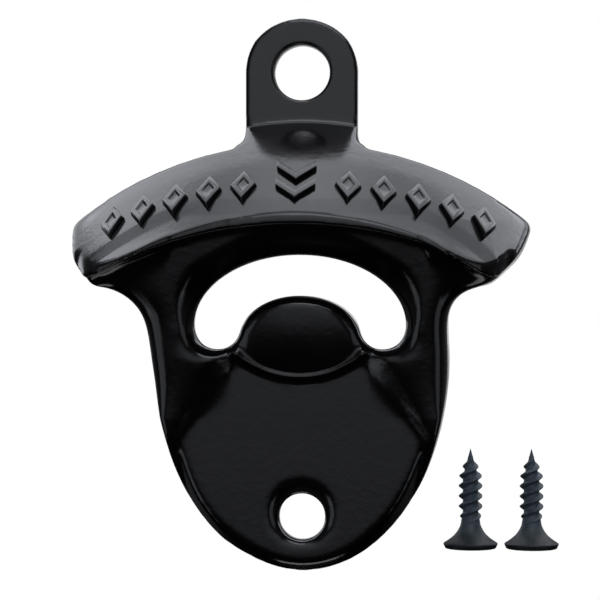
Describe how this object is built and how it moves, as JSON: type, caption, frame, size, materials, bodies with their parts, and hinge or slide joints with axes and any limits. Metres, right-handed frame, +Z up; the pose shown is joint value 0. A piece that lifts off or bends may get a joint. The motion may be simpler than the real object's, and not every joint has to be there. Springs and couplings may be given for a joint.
{
  "type": "wall-mounted bottle opener",
  "caption": "Cast wall bottle opener: hood over a cap mouth with a tongue, round ear and shield plate with screw holes, fixing screws beside it.",
  "frame": {"origin": "on the wall plane, on the axis of the upper screw hole", "axes": "+X to the right seen from the front, +Y into the wall, +Z up"},
  "size_m": [0.0758, 0.0242, 0.0869],
  "materials": {
    "black_paint": "glossy black paint over a casting",
    "screw_black": "black phosphate"
  },
  "bodies": {
    "casting": {"opener_body": "black_paint"},
    "screw_a": {"upper_screw": "screw_black"},
    "screw_b": {"lower_screw": "screw_black"}
  },
  "joints": [
    {"name": "upper_screw_turn", "type": "hinge", "parent": "casting", "child": "screw_a", "pos_m": [0.0262, -0.0042, -0.0739], "axis": [0, 0, 1], "continuous": true},
    {"name": "lower_screw_turn", "type": "hinge", "parent": "casting", "child": "screw_b", "pos_m": [0.0356, -0.0042, -0.0739], "axis": [0, 0, 1], "continuous": true}
  ]
}
